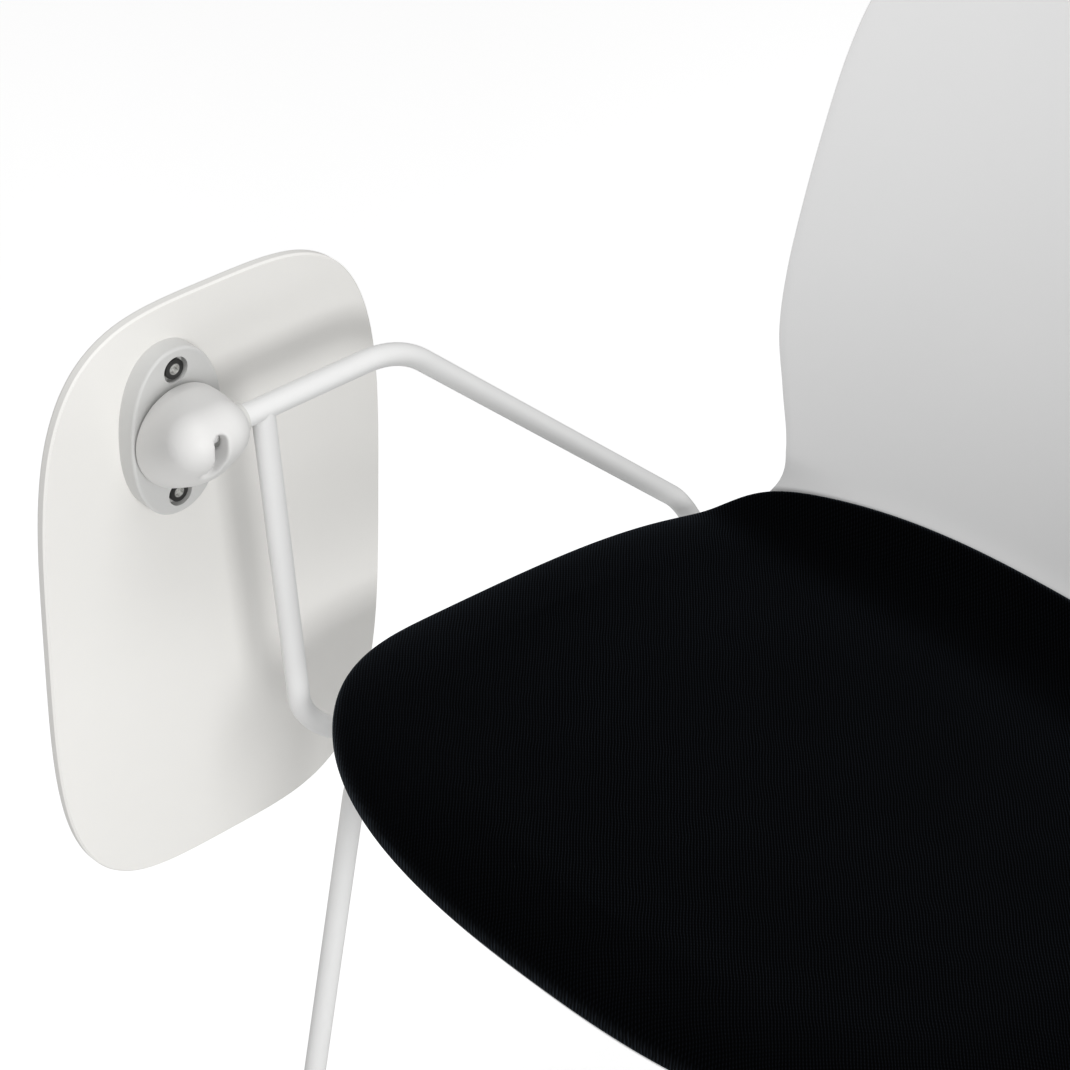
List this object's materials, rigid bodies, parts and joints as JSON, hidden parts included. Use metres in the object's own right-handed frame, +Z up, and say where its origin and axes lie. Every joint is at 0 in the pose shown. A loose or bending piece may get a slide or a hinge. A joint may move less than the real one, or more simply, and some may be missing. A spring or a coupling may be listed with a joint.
{
  "type": "tablet arm chair",
  "caption": "One-piece moulded shell chair on bent rod legs, with an upholstered seat pad and a writing tablet that flips up on a rod arm and swivels over the lap.",
  "frame": {"origin": "on the floor, under the middle of the seat, in the chair's mid-plane", "axes": "+Z up, -Y the way a sitter faces, +X to the sitter's left; the tablet hangs on the -X side"},
  "size_m": [0.5164, 0.5623, 0.8124],
  "materials": {
    "shell_plastic": "light grey-white moulded plastic, faint satin sheen",
    "pad_fabric": "near-black woven upholstery with very fine ribs",
    "board_wood": "raw plywood",
    "frame_paint": "white-grey powder coat, satin",
    "zinc_steel": "bright zinc plate",
    "black_steel": "black oxide",
    "glide_plastic": "grey nylon, matt",
    "hub_plastic": "white-grey moulded nylon, satin",
    "bush_plastic": "natural acetal",
    "washer_plastic": "black friction plastic",
    "flange_plastic": "white-grey moulded nylon, satin",
    "insert_brass": "turned brass",
    "tablet_laminate": "warm off-white laminate, satin"
  },
  "bodies": {
    "chair": {"seat_shell": "shell_plastic", "seat_pad": "pad_fabric", "pad_board": "board_wood", "front_leg_hoop": "frame_paint", "rear_leg_hoop": "frame_paint", "side_rail_right": "frame_paint", "side_rail_left": "frame_paint", "mounting_lugs": "frame_paint", "shell_screws": "zinc_steel", "glide_front_right": "glide_plastic", "glide_front_left": "glide_plastic", "glide_rear_right": "glide_plastic", "glide_rear_left": "glide_plastic", "arm_top_rod": "frame_paint", "arm_front_rod": "frame_paint", "arm_plate": "frame_paint", "arm_screws": "zinc_steel", "stop_pin": "zinc_steel"},
    "hub": {"hub_housing": "hub_plastic", "hub_bushes": "bush_plastic", "friction_washer": "washer_plastic", "pivot_bolt": "zinc_steel", "spring_washer": "zinc_steel"},
    "tablet": {"tablet_flange": "flange_plastic", "flange_screws": "black_steel", "tablet_inserts": "insert_brass", "tablet_top": "tablet_laminate"}
  },
  "joints": [
    {"name": "tablet_flip", "type": "hinge", "parent": "chair", "child": "hub", "pos_m": [-0.232, -0.175, 0.625], "axis": [0, 1, 0], "range_deg": [0, 90]},
    {"name": "tablet_swing", "type": "hinge", "parent": "hub", "child": "tablet", "pos_m": [-0.272, -0.166, 0.6013], "axis": [-1, 0, 0], "range_deg": [0, 180]}
  ]
}
